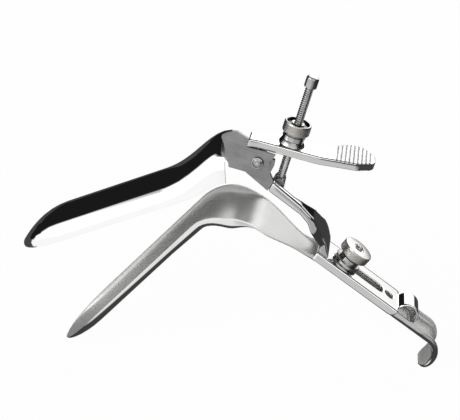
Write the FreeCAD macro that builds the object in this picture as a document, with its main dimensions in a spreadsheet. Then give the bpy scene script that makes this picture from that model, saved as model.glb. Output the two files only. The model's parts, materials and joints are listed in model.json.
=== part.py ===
"""Open-sided bivalve speculum: two trough-shaped blades on one side hinge, a sliding yoke that
raises the upper blade, a threaded rod with a knurled nut that sets its angle, and a clamp knob.

All sizes are in millimetres and live in the sheet "Sizes". Shapes are drawn about the hinge
axis: X runs from the blade tips towards the handle, Y away from the hinge side, Z up.
"""
import FreeCAD, Part
import math
import os
import Sketcher

SIZES = (
    # Where the hinge stands over the surface that carries the blade tip and the hook
    ("hinge_x", 15.79, "hinge from the middle of the length"),
    ("hinge_y", 0.92, "median plane from the middle of the width"),
    ("hinge_z", 114.22, "hinge over the surface"),
    # Lower blade, apron, handle channel and hook: one formed sheet
    ("lower_slope", 47.0, "blade down from level, in degrees"),
    ("lower_rim", 1.6, "rim line of the lower blade under the hinge"),
    ("lower_length", 104.7, "straight part of the lower blade"),
    ("blade_half", 17.8, "half the width of a blade"),
    ("lower_depth", 5.9, "depth of the lower trough"),
    ("heel_depth", 8.9, "depth of the lower trough at the mouth"),
    ("heel_half", 20.2, "half the width of the lower mouth"),
    ("heel_radius", 27.0, "bend from blade to handle, along the rim"),
    ("tip_length", 27.0, "rounded part of a blade tip"),
    ("blade_sheet", 1.2, "wall of both blades and the handle"),
    ("tail_slope", 36.1, "handle down from level, in degrees"),
    ("flange_top", 25.0, "handle flange tops under the hinge"),
    ("apron_drop", 3.6, "apron rim under the flange tops"),
    ("handle_half", 9.6, "half the width of the handle"),
    ("handle_depth", 4.6, "height of the handle channel"),
    ("apron_floor", 0.6, "apron floor under the channel's"),
    ("handle_end", 125.7, "end of the straight handle, along it from the hinge"),
    ("hook_radius", 11.15, "hook, at the flange tops"),
    ("hook_depth", 2.8, "height of the channel in the hook"),
    ("hook_turn", 133.0, "how far the hook turns, in degrees"),
    # Upper blade
    ("upper_slope", 22.5, "blade down from level, in degrees"),
    ("upper_tip_x", 122.6, "upper tip before the hinge"),
    ("upper_tip_z", 59.7, "upper tip under the hinge"),
    ("upper_depth", 11.0, "depth of the upper trough"),
    ("upper_straight", 84.0, "length of even depth from the tip"),
    ("mouth_x", 15.2, "upper mouth before the hinge"),
    ("mouth_z", 12.6, "rim of the upper mouth under the hinge"),
    ("mouth_depth", 17.2, "height of the upper mouth"),
    ("mouth_half", 18.9, "half the width of the upper mouth"),
    # Hinge
    ("ear_outer", 21.0, "outer face of the upper ear from the median plane"),
    ("ear_thick", 1.9, "upper ear"),
    ("ear_lobe", 5.8, "round of the upper ear about the hinge"),
    ("ear_crest", 14.7, "top of the ear's shoulder over the hinge"),
    ("shoulder_reach", 8.0, "how far the ear's shoulder runs inboard"),
    ("washer_thick", 0.3, "hinge washer"),
    ("washer_radius", 4.4, "hinge washer"),
    ("plate_thick", 2.4, "yoke hinge plate"),
    ("plate_lobe", 8.0, "reach of the yoke plate about the hinge"),
    ("lobe_gap", 0.3, "between the yoke plate's round and the lever over it"),
    ("rivet_radius", 2.0, "shank of the hinge rivet"),
    ("rivet_head", 3.1, "radius of the rivet heads"),
    ("rivet_rise", 1.0, "height of the rivet heads"),
    ("run_gap", 0.05, "running clearance of a turning fit, on the radius"),
    # Thumb lever, in its own frame: X along the lever, Z along the threaded rod
    ("lever_slope", 15.4, "lever down from level, in degrees"),
    ("lever_top", 10.1, "top of the lever over the hinge"),
    ("lever_thick", 4.0, "lever"),
    ("lever_start", 7.0, "left end before the hinge"),
    ("lever_end", 53.0, "pad end after the hinge"),
    ("lever_waist", 27.0, "narrow part of the lever after the hinge"),
    ("lever_inner", 20.2, "inboard edge of the lever from its near edge"),
    ("lever_round", 0.8, "rounding of the lever's top edges"),
    ("pad_length", 21.0, "thumb pad"),
    ("pad_half", 11.0, "half the width of the thumb pad"),
    ("groove_pitch", 2.0, "thumb grooves"),
    ("groove_depth", 0.4, "thumb grooves"),
    ("groove_width", 0.9, "thumb grooves"),
    # Threaded rod and its nut, in the lever's frame
    ("rod_x", 12.75, "rod axis after the hinge"),
    ("rod_side", 10.0, "rod axis from the median plane"),
    ("rod_pivot", 10.2, "rod pivot under the hinge"),
    ("rod_top", 44.4, "top of the rod cap over the hinge"),
    ("rod_radius", 2.0, "threaded rod"),
    ("rod_eye", 2.4, "half width of the flat eye of the rod"),
    ("rod_eye_thick", 4.2, "thickness of the eye"),
    ("fork_round", 2.8, "round of the fork about the pivot"),
    ("fork_foot", 4.4, "foot of the fork under the pivot"),
    ("pin_radius", 1.1, "pivot pin of the rod"),
    ("cap_radius", 3.0, "rod cap"),
    ("cap_height", 5.3, "rod cap"),
    ("dome_radius", 6.7, "round seat on the lever, about the hole"),
    ("seat_gap", 0.3, "between the saddle and the collar"),
    ("collar_radius", 5.4, "seat collar"),
    ("collar_low", 2.4, "foot of the collar over the lever"),
    ("nut_low", 5.5, "knurled nut over the lever"),
    ("nut_height", 5.4, "knurled nut"),
    ("nut_radius", 6.6, "knurled nut"),
    ("nut_recess", 1.1, "hollow in the top of the nut"),
    ("face_gap", 0.05, "between flat faces that turn or slide on each other"),
    ("lever_hole", 4.8, "width of the rod's slot in the lever"),
    ("lever_slot", 6.6, "length of the rod's slot in the lever"),
    # Yoke arm, in the hinge frame
    ("arm_outer", 19.6, "near face of the arm from the median plane"),
    ("arm_inner", 14.6, "inboard face of the upper arm from the median plane"),
    ("lug_reach", 5.9, "inner end of the rod lug from the median plane"),
    ("arm_head_x", 6.05, "joint of arm and hinge plate after the hinge"),
    ("arm_head_z", 12.65, "joint of arm and hinge plate under the hinge"),
    ("arm_bend_x", 27.4, "bend of the arm after the hinge"),
    ("arm_bend_z", 30.6, "bend of the arm under the hinge"),
    ("arm_rise", 50.0, "height of the arm over the tail"),
    # Tail, in the tail's frame: X down along the handle, Z square to it
    ("tail_start", 53.0, "upper end of the tail"),
    ("tail_end", 104.4, "end of the flat tail, where the curl starts"),
    ("tail_sheet", 1.3, "tail"),
    ("tail_gap", 0.1, "between the tail and the flange tops under it"),
    ("tail_side_gap", 0.3, "between the tail's flanges and the handle inside them"),
    ("tail_width", 11.1, "half the width of the tail"),
    ("tail_round", 1.2, "rounding of the tail's long edges"),
    ("tail_depth", 4.6, "height of the tail's side flanges"),
    ("arm_foot", 6.5, "length of the arm's foot on the tail"),
    ("slot_start", 69.6, "upper arc centre of the slot"),
    ("slot_end", 91.0, "lower arc centre of the slot"),
    ("slot_half", 3.2, "half the width of the slot"),
    ("hole_x", 98.4, "round hole in the tail"),
    ("hole_radius", 2.25, "round hole in the tail"),
    ("curl_radius", 6.0, "thumb curl, outside"),
    ("curl_width", 13.0, "thumb curl"),
    ("curl_turn", 215.0, "how far the curl turns, in degrees"),
    # Clamp on the handle, in the tail's frame
    ("stud_x", 70.2, "clamp stud along the handle"),
    ("stud_radius", 2.0, "clamp stud"),
    ("stud_head", 4.0, "head of the stud under the tail"),
    ("floor_gap", 0.03, "between the stud's head and the handle's floor"),
    ("clamp_washer_radius", 7.2, "clamp washer"),
    ("clamp_washer_thick", 2.2, "clamp washer"),
    ("clamp_neck", 5.5, "neck of the clamp collar"),
    ("clamp_neck_height", 3.2, "neck of the clamp collar"),
    ("knob_radius", 8.0, "clamp knob"),
    ("knob_height", 5.0, "clamp knob"),
    ("stud_rise", 1.3, "domed end of the stud over the knob"),
)

doc = FreeCAD.newDocument("bivalve_speculum")
sheet = doc.addObject("Spreadsheet::Sheet", "Sizes")
for row, (alias, number, note) in enumerate(SIZES, start=1):
    sheet.set(f"A{row}", note)
    sheet.set(f"B{row}", str(number))
    sheet.setAlias(f"B{row}", alias)
doc.recompute()


class Dim:
    """A size worked out from the sheet: its number now, and the expression that keeps it bound."""

    def __init__(self, value, text):
        self.value = float(value)
        self.text = text

    def join(self, other, sign, value):
        return Dim(value, f"({self.text} {sign} {as_dim(other).text})")

    def __add__(self, other):
        return self.join(other, "+", self.value + as_dim(other).value)

    def __sub__(self, other):
        return self.join(other, "-", self.value - as_dim(other).value)

    def __mul__(self, other):
        return self.join(other, "*", self.value * as_dim(other).value)

    def __truediv__(self, other):
        return self.join(other, "/", self.value / as_dim(other).value)

    def __neg__(self):
        return Dim(-self.value, f"(0 - {self.text})")

    def __radd__(self, other):
        return as_dim(other) + self

    def __rsub__(self, other):
        return as_dim(other) - self

    def __rmul__(self, other):
        return as_dim(other) * self


def as_dim(number):
    return number if isinstance(number, Dim) else Dim(number, f"{number:.6f}")


def size(alias):
    return Dim(getattr(sheet, alias), f"Sizes.{alias}")


def sine(angle):
    return Dim(math.sin(math.radians(angle.value)), f"sin({angle.text})")


def cosine(angle):
    return Dim(math.cos(math.radians(angle.value)), f"cos({angle.text})")


def bind(obj, path, dim):
    obj.setExpression(path, as_dim(dim).text)


def turned(along, across, slope):
    """Hinge-frame X and Z of a point given along and square to a line that slopes down."""
    x = along * cosine(slope) + across * sine(slope)
    z = across * cosine(slope) - along * sine(slope)
    return x, z


# Bodies, sketches and features

def stand(obj, slope=None):
    """Seats an object on the hinge, turned down by a slope where its frame is a sloping one."""
    angle = slope.value if slope else 0
    obj.Placement = FreeCAD.Placement(
        FreeCAD.Vector(sheet.hinge_x, sheet.hinge_y, sheet.hinge_z),
        FreeCAD.Rotation(FreeCAD.Vector(0, 1, 0), angle))
    bind(obj, "Placement.Base.x", size("hinge_x"))
    bind(obj, "Placement.Base.y", size("hinge_y"))
    bind(obj, "Placement.Base.z", size("hinge_z"))
    if slope:
        bind(obj, "Placement.Rotation.Angle", slope)


def new_body(label, slope=None):
    body = doc.addObject("PartDesign::Body", label)
    body.Label = label
    stand(body, slope)
    return body


def new_sketch(body, plane, name, offset=0):
    """A sketch on one of the body's origin planes, moved along the plane's normal."""
    sketch = body.newObject("Sketcher::SketchObject", f"{body.Name}_{name}")
    origin_plane = [f for f in body.Origin.OriginFeatures if f.Role == plane][0]
    sketch.AttachmentSupport = [(origin_plane, "")]
    sketch.MapMode = "FlatFace"
    offset = as_dim(offset)
    sketch.AttachmentOffset = FreeCAD.Placement(
        FreeCAD.Vector(0, 0, offset.value), FreeCAD.Rotation())
    bind(sketch, "AttachmentOffset.Base.z", offset)
    return sketch


def hold(sketch, kind, *args):
    """Adds a constraint whose last argument is a size, and binds it."""
    dim = as_dim(args[-1])
    index = sketch.addConstraint(Sketcher.Constraint(kind, *args[:-1], dim.value))
    sketch.setExpression(f"Constraints[{index}]", dim.text)


def locate(sketch, geo, point, u, v):
    hold(sketch, "DistanceX", -1, 1, geo, point, u)
    hold(sketch, "DistanceY", -1, 1, geo, point, v)


def polygon(sketch, corners):
    """Closed outline whose corners are each held to the sheet."""
    corners = [(as_dim(u), as_dim(v)) for u, v in corners]
    flat = [FreeCAD.Vector(u.value, v.value, 0) for u, v in corners]
    first = sketch.GeometryCount
    count = len(corners)
    for index in range(count):
        sketch.addGeometry(Part.LineSegment(flat[index], flat[(index + 1) % count]), False)
    for index in range(count):
        following = first + (index + 1) % count
        sketch.addConstraint(Sketcher.Constraint("Coincident", first + index, 2, following, 1))
    for index, (u, v) in enumerate(corners):
        locate(sketch, first + index, 1, u, v)


def circle(sketch, u, v, radius):
    u, v, radius = as_dim(u), as_dim(v), as_dim(radius)
    geo = sketch.addGeometry(Part.Circle(
        FreeCAD.Vector(u.value, v.value, 0), FreeCAD.Vector(0, 0, 1), radius.value), False)
    hold(sketch, "Radius", geo, radius)
    locate(sketch, geo, 3, u, v)


def slot(sketch, u_low, u_high, v, half):
    """Round-ended slot along the sketch's first axis, between two arc centres."""
    u_low, u_high, v, half = (as_dim(d) for d in (u_low, u_high, v, half))
    low = FreeCAD.Vector(u_low.value, v.value, 0)
    high = FreeCAD.Vector(u_high.value, v.value, 0)
    up = FreeCAD.Vector(0, half.value, 0)
    normal = FreeCAD.Vector(0, 0, 1)
    quarter = math.pi / 2
    arc_low = Part.ArcOfCircle(Part.Circle(low, normal, half.value), quarter, 3 * quarter)
    arc_high = Part.ArcOfCircle(Part.Circle(high, normal, half.value), -quarter, quarter)
    geo = sketch.addGeometry(
        [arc_low, Part.LineSegment(low - up, high - up), arc_high,
         Part.LineSegment(high + up, low + up)], False)[0]
    for a, a_end, b, b_end in ((0, 2, 1, 1), (1, 2, 2, 1), (2, 2, 3, 1), (3, 2, 0, 1)):
        sketch.addConstraint(Sketcher.Constraint("Tangent", geo + a, a_end, geo + b, b_end))
    hold(sketch, "Radius", geo, half)
    locate(sketch, geo, 3, u_low, v)
    locate(sketch, geo + 2, 3, u_high, v)


def pad(body, sketch, length, reverse=False):
    feature = body.newObject("PartDesign::Pad", f"{sketch.Name}_pad")
    feature.Profile = sketch
    feature.Length = as_dim(length).value
    bind(feature, "Length", length)
    feature.Reversed = reverse
    doc.recompute()
    return feature


def pocket(body, sketch, length, reverse=False):
    """Cuts a sketch into the body and makes sure that it removed something."""
    before = body.Shape.Volume
    feature = body.newObject("PartDesign::Pocket", f"{sketch.Name}_pocket")
    feature.Profile = sketch
    feature.Length = as_dim(length).value
    bind(feature, "Length", length)
    feature.Reversed = reverse
    doc.recompute()
    if not body.Shape.Volume < before - 1e-6:
        raise RuntimeError(f"{feature.Name} cuts nothing")
    return feature


def revolve(body, sketch, axis, angle=360.0):
    feature = body.newObject("PartDesign::Revolution", f"{sketch.Name}_turn")
    feature.Profile = sketch
    feature.ReferenceAxis = (sketch, [axis])
    feature.Angle = as_dim(angle).value
    bind(feature, "Angle", angle)
    doc.recompute()
    return feature


def round_edges(body, base, edges, radius, kind="PartDesign::Fillet"):
    """Fillets or chamfers the named edges of a feature."""
    feature = body.newObject(kind, f"{base.Name}_{kind[12:].lower()}{len(body.Group)}")
    feature.Base = (base, edges)
    path = "Radius" if kind.endswith("Fillet") else "Size"
    setattr(feature, path, as_dim(radius).value)
    bind(feature, path, radius)
    doc.recompute()
    return feature


def edges_at(feature, direction, spots=None, reach=0.6):
    """Names of the straight edges along a direction, near the given points if any are given."""
    names = []
    for index, edge in enumerate(feature.Shape.Edges, start=1):
        if edge.Curve.TypeId != "Part::GeomLine":
            continue
        along = edge.Curve.Direction
        if abs(abs(along.dot(direction)) - 1) > 1e-6:
            continue
        middle = edge.CenterOfMass
        flat = middle - direction * middle.dot(direction)
        if spots is None or any((flat - s).Length < reach for s in spots):
            names.append(f"Edge{index}")
    return names


def face_edges(feature, axis, level, reach=0.05):
    """Names of the edges that lie in a plane square to an axis."""
    names = []
    for index, edge in enumerate(feature.Shape.Edges, start=1):
        box = edge.BoundBox
        low, high = getattr(box, f"{axis}Min"), getattr(box, f"{axis}Max")
        if abs(low - level) < reach and abs(high - level) < reach:
            names.append(f"Edge{index}")
    return names


# Formed sheet: the blades

def section(place, height, half, square, wall):
    """Closed outline of a trough: a U of sheet, open towards +Z of its place.

    The U hangs from its rim at zero down to -height. square is the exponent of the curve: 2 is
    an ellipse, more is a channel with corners.
    """
    steps = 12

    def curve(width, depth):
        points = []
        for step in range(steps + 1):
            angle = math.pi * step / steps
            across, down = -math.cos(angle), abs(math.sin(angle))
            reach = (abs(across) ** square + down ** square) ** (-1 / square)
            level = -down * reach * depth if step % steps else 0.0
            points.append(place.multVec(FreeCAD.Vector(0, across * reach * width, level)))
        spline = Part.BSplineCurve()
        spline.interpolate(Points=points, Parameters=[step / steps for step in range(steps + 1)])
        return spline.toShape(), points

    outer, outside = curve(half, height)
    inner, inside = curve(half - wall, height - wall)
    near = Part.makeLine(inside[0], outside[0])
    far = Part.makeLine(outside[-1], inside[-1])
    return Part.Wire([outer, far, inner.reversed(), near])


def station(x, z, slope, roof=False):
    """Place of a section: its X looks along the path, which climbs at a slope in degrees."""
    turn = FreeCAD.Rotation(FreeCAD.Vector(0, 1, 0), -slope)
    if roof:
        turn = turn.multiply(FreeCAD.Rotation(FreeCAD.Vector(1, 0, 0), 180))
    return FreeCAD.Placement(FreeCAD.Vector(x, 0, z), turn)


def tip_share(along, length):
    """Width of a rounded tip as a share of the full width."""
    return (1 - max(0.0, 1 - along / length) ** 2.2) ** (1 / 2.2)


def ramp(low, high, share):
    share = min(max(share, 0.0), 1.0)
    return low + (high - low) * (3 - 2 * share) * share ** 2


TIP_STEPS = (0.15, 0.6, 1.4, 2.6, 4.2, 6.4, 9.2, 12.8, 17.6, 22.0)


def lower_blade():
    """Trough, mouth, apron, handle channel and hook in one loft along the rim line."""
    d = sheet
    wall = d.blade_sheet
    blade, tail = math.radians(d.lower_slope), math.radians(d.tail_slope)
    # Corner of the rim line of the blade and the line of the flange tops
    turn = math.sin(blade + tail)
    corner_x = (d.lower_rim * math.cos(tail) - d.flange_top * math.cos(blade)) / turn
    corner_z = (-d.flange_top * math.sin(blade) - d.lower_rim * math.sin(tail)) / turn
    tangent = d.heel_radius * math.tan((blade + tail) / 2)
    bend_x = corner_x - tangent * math.cos(blade)
    bend_z = corner_z - tangent * math.sin(blade)
    centre_x = bend_x + d.heel_radius * math.sin(blade)
    centre_z = bend_z - d.heel_radius * math.cos(blade)
    wires = []
    # Blade, from the tip to the bend
    for along in TIP_STEPS + (d.tip_length, 0.8 * d.lower_length):
        back = d.lower_length - along
        share = tip_share(along, d.tip_length)
        depth = ramp(wall * 1.06, d.lower_depth, (along / d.tip_length) ** 0.6)
        wires.append(section(
            station(bend_x - back * math.cos(blade), bend_z - back * math.sin(blade), d.lower_slope),
            depth, d.blade_half * share, 2.5, wall))
    # Bend of the mouth
    bend_steps = 14
    total = d.lower_slope + d.tail_slope
    for step in range(bend_steps + 1):
        share = step / bend_steps
        slope = math.radians(d.lower_slope - share * total)
        if share <= 0.5:
            depth = ramp(d.lower_depth + 0.8, d.heel_depth, share * 2)
            half = ramp(d.blade_half, d.heel_half, share * 2)
        else:
            depth = ramp(d.heel_depth, d.handle_depth + d.apron_floor - d.apron_drop, share * 2 - 1)
            half = ramp(d.heel_half, d.heel_half - 2.0, share * 2 - 1)
        rise = d.heel_radius - ramp(0.0, d.apron_drop, share)
        wires.append(section(
            station(centre_x - rise * math.sin(slope), centre_z + rise * math.cos(slope),
                    math.degrees(slope)),
            depth, half, 2.5 + 1.2 * share, wall))
    # Apron, narrowing and then rising into the handle channel
    def on_handle(along, drop):
        x = along * math.cos(tail) - (d.flange_top + drop) * math.sin(tail)
        z = -along * math.sin(tail) - (d.flange_top + drop) * math.cos(tail)
        return station(x, z, -d.tail_slope)

    bend_end = math.cos(tail) * (centre_x + d.heel_radius * math.sin(tail)) \
        - math.sin(tail) * (centre_z + d.heel_radius * math.cos(tail))
    channel = d.tail_start + 8.0
    apron_steps = 10
    for step in range(1, apron_steps + 1):
        share = step / apron_steps
        low = ramp(1.0, 0.0, (share - 0.6) / 0.4)
        wires.append(section(
            on_handle(bend_end + (channel - bend_end) * share, d.apron_drop * low),
            d.handle_depth + (d.apron_floor - d.apron_drop) * low,
            ramp(d.heel_half - 2.0, d.handle_half, share / 0.66), 3.7 + 1.3 * share, wall))
    blade_part = Part.makeLoft(wires, True, True)
    # Straight channel, and the hook with its rounded end
    ends = [section(on_handle(along, 0.0), d.handle_depth, d.handle_half, 5.0, wall)
            for along in (channel, d.handle_end)]
    reach = on_handle(d.handle_end, 0.0).Base - on_handle(channel, 0.0).Base
    handle_part = Part.Face(ends[0]).extrude(reach)
    wires = [ends[1]]
    centre = on_handle(d.handle_end, d.hook_radius).Base
    hook_steps = 18
    for step in range(1, hook_steps + 1):
        share = step / hook_steps
        slope = math.radians(-d.tail_slope - share * d.hook_turn)
        ending = max(0.0, share - 0.6) / 0.4
        depth = ramp(d.handle_depth, d.hook_depth, share * 2)
        wires.append(section(
            station(centre.x - d.hook_radius * math.sin(slope),
                    centre.z + d.hook_radius * math.cos(slope), math.degrees(slope)),
            ramp(depth, wall * 1.3, ending), d.handle_half * (1 - 0.55 * ending ** 5),
            5.0 - 2.4 * ending, wall))
    return blade_part.fuse([handle_part, Part.makeLoft(wires, True, True)])


def upper_stations():
    """Rim points, slopes, heights, half widths and squareness of the upper blade's sections."""
    d = sheet
    slope = math.radians(d.upper_slope)
    rows = []
    for along in TIP_STEPS + (d.tip_length, d.upper_straight):
        depth = ramp(d.blade_sheet * 1.06, d.upper_depth, (along / d.tip_length) ** 0.55)
        rows.append((-d.upper_tip_x + along * math.cos(slope), -d.upper_tip_z + along * math.sin(slope),
                     d.upper_slope, depth, d.blade_half * tip_share(along, d.tip_length), 2.5))
    start_x, start_z = rows[-1][0], rows[-1][1]
    flare_steps = 12
    for step in range(1, flare_steps + 1):
        share = step / flare_steps
        lift = share ** 2.6
        x = start_x + (-d.mouth_x - start_x) * share
        z = ramp(start_z + (x - start_x) * math.tan(slope), -d.mouth_z, lift)
        rows.append((x, z, d.upper_slope * (1 - lift) + 4.0 * lift,
                     ramp(d.upper_depth, d.mouth_depth, share),
                     ramp(d.blade_half, d.mouth_half, share), 2.5 + 0.5 * lift))
    return rows


def upper_blade():
    """Trough turned down, straight to the bend and then flared up to the mouth."""
    return Part.makeLoft([
        section(station(x, z, slope, roof=True), height, half, square, sheet.blade_sheet)
        for x, z, slope, height, half, square in upper_stations()], True, True)


def upper_core():
    """The upper blade's outside as a filled solid, for what is seated on it."""
    outlines = []
    for x, z, slope, height, half, square in upper_stations()[-14:]:
        wire = section(station(x, z, slope, roof=True), height, half, square, sheet.blade_sheet)
        outer = wire.Edges[0]
        ends = [v.Point for v in outer.Vertexes]
        outlines.append(Part.Wire([outer, Part.makeLine(ends[-1], ends[0])]))
    return Part.makeLoft(outlines, True, True)


def formed(label, shape):
    feature = doc.addObject("Part::Feature", label)
    feature.Label = label
    feature.Shape = shape
    stand(feature)
    return feature


# Turned pieces

def turned_piece(label, slope, plane, offset, axis, profile):
    """A body revolved about a line parallel to the sketch's second axis.

    axis is that line's place along the first axis; profile holds (radius, level) pairs.
    """
    body = new_body(label, slope)
    sketch = new_sketch(body, plane, "profile", offset)
    polygon(sketch, [(axis + radius, as_dim(level)) for radius, level in profile])
    axis = as_dim(axis)
    line = sketch.addGeometry(Part.LineSegment(
        FreeCAD.Vector(axis.value, 0, 0), FreeCAD.Vector(axis.value, 10, 0)), True)
    sketch.addConstraint(Sketcher.Constraint("Vertical", line))
    locate(sketch, line, 1, axis, 0)
    hold(sketch, "DistanceY", line, 1, line, 2, 10)
    revolve(body, sketch, "Axis0")
    return body


def ring(bore, outer, low, high, bevel):
    """Profile of a plain ring, bevelled on its outer corners."""
    return [(bore, low), (outer - bevel, low), (outer, low + bevel),
            (outer, high - bevel), (outer - bevel, high), (bore, high)]


# Hinge

def hinge_levels():
    """Distances from the median plane: ear out and in, then yoke plate out and in."""
    ear_out = size("ear_outer")
    ear_in = ear_out - size("ear_thick")
    plate_out = ear_in - size("washer_thick") - size("face_gap")
    plate_in = plate_out - size("plate_thick")
    return ear_out, ear_in, plate_out, plate_in


def ear():
    """Ear of the upper blade with the shoulder that runs down to the flared mouth."""
    body = new_body("ear")
    slope = size("lever_slope")
    ear_out, ear_in, _, _ = hinge_levels()
    under = size("lever_top") - size("lever_thick")
    left = -size("lever_start")
    lobe = size("ear_lobe")
    mouth = -size("mouth_x")
    crest = size("ear_crest")
    sketch = new_sketch(body, "XZ_Plane", "outline", ear_out)
    polygon(sketch, [
        (mouth + 1.7, -lobe * 0.5), (mouth + 1.5, crest * 0.04), (mouth + 0.9, crest * 0.36),
        (mouth - 0.6, crest * 0.62), (mouth - 1.6, crest * 0.8), (mouth - 1.2, crest * 0.9),
        (mouth + 0.6, crest * 0.97), (mouth + 3.4, crest * 1.02), (mouth + 6.0, crest * 1.01),
        turned(left, size("lever_top"), slope), turned(left, under, slope),
        turned(lobe + 1.2, under, slope), (lobe * 0.98, lobe * 0.1),
        (lobe * 0.4, -lobe * 0.9), (-lobe * 0.4, -lobe * 0.98)])
    pad(body, sketch, size("ear_thick"), reverse=True)
    sketch = new_sketch(body, "XZ_Plane", "lobe", ear_out)
    circle(sketch, 0, 0, lobe)
    plate = pad(body, sketch, size("ear_thick"), reverse=True)
    sketch = new_sketch(body, "XZ_Plane", "root", ear_in)
    polygon(sketch, [
        (mouth + 1.6, -lobe * 0.5), (mouth + 0.2, 1.6), (mouth - 1.2, crest * 0.73),
        (mouth + 4.0, crest * 0.96)])
    crown = new_sketch(body, "XZ_Plane", "crown", ear_in - size("shoulder_reach"))
    polygon(crown, [
        (mouth + 0.2, -1.0), (mouth - 5.0, -3.4), (mouth - 3.6, 0.6), (mouth + 0.2, 2.9)])
    loft = body.newObject("PartDesign::AdditiveLoft", "shoulder")
    loft.Profile = sketch
    loft.Sections = [crown]
    loft.Ruled = True
    doc.recompute()
    sketch = new_sketch(body, "XZ_Plane", "bore", ear_out)
    circle(sketch, 0, 0, size("rivet_radius") + size("run_gap"))
    pocket(body, sketch, size("ear_thick"))
    return body


def upper_hinge_plate(core):
    """The ear, seated on the outside of the upper blade."""
    seated = doc.addObject("Part::Cut", "upper_hinge_plate")
    seated.Base = ear()
    seated.Tool = core
    doc.recompute()
    return seated


def arm_head():
    """The two ends of the joint between the yoke's hinge plate and its arm."""
    x, z = size("arm_head_x"), -size("arm_head_z")
    return (x - 1.35, z - 2.35), (x + 1.35, z + 2.35)


def yoke_hinge_plate():
    body = new_body("yoke_hinge_plate")
    _, _, plate_out, _ = hinge_levels()
    lobe = size("plate_lobe")
    low, high = arm_head()
    sketch = new_sketch(body, "XZ_Plane", "outline", plate_out)
    polygon(sketch, [
        low, high, (lobe * 0.72, -lobe * 0.76), (lobe * 0.96, -lobe * 0.26), (lobe, lobe * 0.06),
        (lobe * 0.72, lobe * 0.24), (-lobe * 0.6, lobe * 0.3), (-lobe * 0.97, -lobe * 0.2),
        (-lobe * 0.76, -lobe * 0.72)])
    pad(body, sketch, size("plate_thick"), reverse=True)
    sketch = new_sketch(body, "XZ_Plane", "lobe", plate_out)
    circle(sketch, 0, 0, size("lever_top") - size("lever_thick") - size("lobe_gap"))
    pad(body, sketch, size("plate_thick"), reverse=True)
    sketch = new_sketch(body, "XZ_Plane", "bore", plate_out)
    circle(sketch, 0, 0, size("rivet_radius"))
    pocket(body, sketch, size("plate_thick"))


def hinge_pins():
    """Rivet through both plates, with a ringed head outside, and the washer between them."""
    ear_out, _, plate_out, plate_in = hinge_levels()
    shank, head = size("rivet_radius"), size("rivet_head")
    rise = size("rivet_rise")
    face = ear_out + size("face_gap")
    turned_piece("hinge_rivet", None, "XY_Plane", 0, 0, [
        (0, -face - rise), (head * 0.45, -face - rise * 0.9), (head * 0.66, -face - rise * 0.6),
        (head * 0.74, -face - rise), (head * 0.9, -face - rise * 0.8), (head, -face - rise * 0.3),
        (head, -face), (shank, -face), (shank, -plate_in), (head, -plate_in),
        (head, -plate_in + rise * 0.5), (head * 0.7, -plate_in + rise), (0, -plate_in + rise)])
    turned_piece("hinge_washer", None, "XY_Plane", 0, 0, ring(
        shank, size("washer_radius"), -plate_out - size("washer_thick"), -plate_out, 0.08))


# Thumb lever

def thumb_lever():
    """Flat bar from the ear to the pad, turned inboard, with cross grooves for the thumb."""
    body = new_body("thumb_lever", size("lever_slope"))
    near, start, end = -size("ear_outer"), -size("lever_start"), size("lever_end")
    half = size("pad_half")
    waist = size("lever_waist")
    inner = size("lever_inner")
    sketch = new_sketch(body, "XY_Plane", "plan", size("lever_top") - size("lever_thick"))
    corners = [
        (start, near), (start + 5.0, near + 1.6), (waist, near + 4.5), (end - 7.5, -half * 0.93),
        (end + 0.9, -half * 0.32), (end + 0.6, half * 0.46), (end - 5.5, half * 1.14),
        (end - 12.5, half * 1.02), (waist + 6.0, near + inner + 3.8),
        (waist, near + inner), (start + inner * 0.68, near + inner - 0.6),
        (start, near + inner * 0.535)]
    polygon(sketch, corners)
    blank = pad(body, sketch, size("lever_thick"))
    up = FreeCAD.Vector(0, 0, 1)
    for index, radius in ((1, 12.0), (2, 14.0), (3, 8.0), (4, 5.5), (5, 5.5), (6, 4.5), (7, 5.0), (8, 8.0), (9, 10.0), (10, 8.0)):
        u, v = (as_dim(c).value for c in corners[index])
        names = edges_at(blank, up, [FreeCAD.Vector(u, v, 0)])
        blank = round_edges(body, blank, names, radius)
    names = face_edges(blank, "Z", size("lever_top").value)
    blank = round_edges(body, blank, names, size("lever_round"))
    sketch = new_sketch(body, "XY_Plane", "rod_slot", size("lever_top"))
    reach = (size("lever_slot") - size("lever_hole")) / 2
    slot(sketch, size("rod_x") - reach, size("rod_x") + reach, -size("rod_side"), size("lever_hole") / 2)
    pocket(body, sketch, size("lever_thick"))
    sketch = new_sketch(body, "XY_Plane", "grooves", size("lever_top"))
    lean = math.tan(math.radians(11.0))
    width = size("groove_width")
    for index in range(9):
        first = end - size("pad_length") + 2.6 + size("groove_pitch") * index
        low, high = -half * 1.6, half * 1.6
        polygon(sketch, [
            (first - low * lean, low), (first + width - low * lean, low),
            (first + width - high * lean, high), (first - high * lean, high)])
    pocket(body, sketch, size("groove_depth"))


# Threaded rod, nut and their seat

def rod_turned(label, profile):
    return turned_piece(label, size("lever_slope"), "XZ_Plane", size("rod_side"), size("rod_x"), profile)


def seat_arc(radius, low, high, centre, steps=5):
    """Points (radius, level) on a round seat about the lever's hole, from one level to another."""
    points = []
    for step in range(steps + 1):
        level = low + (high - low) * (step / steps)
        away = level - centre
        rim = radius * radius - away * away
        points.append((Dim(math.sqrt(rim.value), f"sqrt({rim.text})"), level))
    return points


def lever_saddle():
    """Round-topped seat on the lever, slotted for the rod."""
    top = size("lever_top")
    centre = top - size("lever_thick") / 2
    high = top + size("collar_low") - 0.1
    body = rod_turned("lever_saddle", [(0, top)] + seat_arc(size("dome_radius"), top, high, centre) + [(0, high)])
    sketch = new_sketch(body, "XY_Plane", "rod_slot", high)
    reach = (size("lever_slot") - size("lever_hole")) / 2
    slot(sketch, size("rod_x") - reach, size("rod_x") + reach, -size("rod_side"), size("lever_hole") / 2)
    pocket(body, sketch, high - top)


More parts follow.
